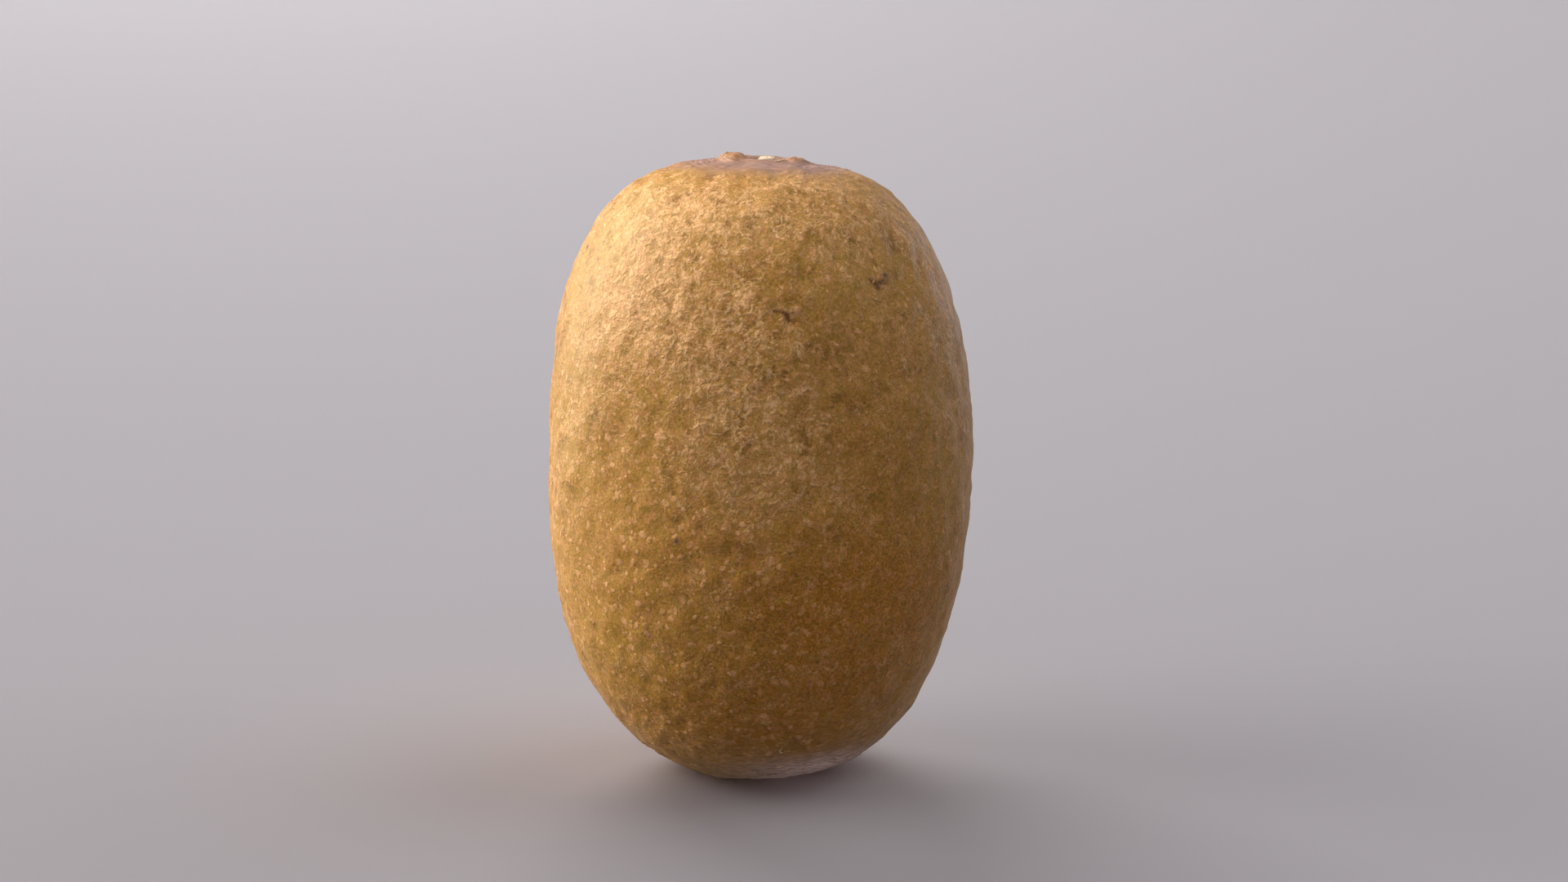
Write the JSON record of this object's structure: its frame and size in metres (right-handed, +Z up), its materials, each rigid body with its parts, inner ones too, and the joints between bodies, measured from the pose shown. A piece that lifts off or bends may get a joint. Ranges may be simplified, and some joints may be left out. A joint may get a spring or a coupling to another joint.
{
  "type": "kiwi fruit",
  "caption": "Gold kiwi fruit with smooth golden-brown speckled skin, knobbly stem scar on top and a dimpled blossom end it stands on.",
  "frame": {"origin": "on the surface the fruit stands on, under the middle of its box", "axes": "+Z up along the fruit from blossom end to stem scar, +X to the side with the fuller shoulder, -Y to the front"},
  "size_m": [0.0496, 0.0474, 0.0729],
  "materials": {
    "skin": "satin"
  },
  "bodies": {
    "root": {"fruit": "skin"}
  },
  "joints": []
}
